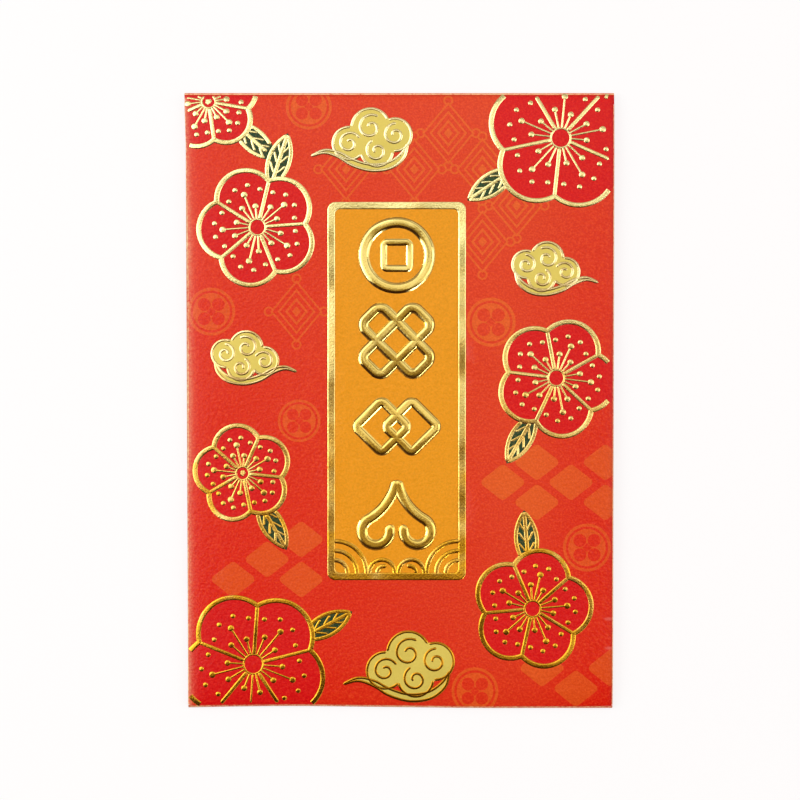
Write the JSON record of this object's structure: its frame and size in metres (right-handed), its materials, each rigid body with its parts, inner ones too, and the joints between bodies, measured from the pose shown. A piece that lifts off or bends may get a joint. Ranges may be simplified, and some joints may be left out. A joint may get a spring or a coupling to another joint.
{
  "type": "red envelope",
  "caption": "Flat folded card gift envelope with a glued pocket, a flap on a creased hinge and raised gold foil stamping round a central plaque.",
  "frame": {"origin": "middle of the envelope's underside, on the surface it lies on", "axes": "+X across the front to its right, +Y up the front to the mouth and flap, +Z out of the printed front"},
  "size_m": [0.08, 0.1155, 0.0016],
  "materials": {
    "red_card": "satin printed card",
    "glue_film": "dried glue",
    "gold_foil": "hot-stamped gold foil",
    "matte_gold": "matte gold foil"
  },
  "bodies": {
    "pocket": {"front_panel": "red_card", "left_fold": "red_card", "back_panel": "red_card", "right_fold": "red_card", "side_seam_tab": "red_card", "bottom_fold": "red_card", "bottom_flap": "red_card", "top_fold": "red_card", "side_seam_glue": "glue_film", "bottom_flap_glue": "glue_film", "plaque_frame": "gold_foil", "wave_left": "gold_foil", "wave_right": "gold_foil", "wave_curls": "gold_foil", "emblem_coin": "gold_foil", "emblem_knot": "gold_foil", "emblem_lozenges": "gold_foil", "emblem_ruyi": "gold_foil", "blossom_top_right": "gold_foil", "blossom_upper_left": "gold_foil", "blossom_top_left": "gold_foil", "blossom_right": "gold_foil", "blossom_left": "gold_foil", "blossom_bottom_left": "gold_foil", "blossom_bottom_right": "gold_foil", "cloud_top": "matte_gold", "cloud_right": "matte_gold", "cloud_left": "matte_gold", "cloud_bottom": "matte_gold"},
    "flap": {"flap_fold": "red_card", "top_flap": "red_card"}
  },
  "joints": [
    {"name": "flap_hinge", "type": "hinge", "parent": "pocket", "child": "flap", "pos_m": [0, 0.05792, 0.00057], "axis": [1, 0, 0], "range_deg": [0, 180]}
  ]
}
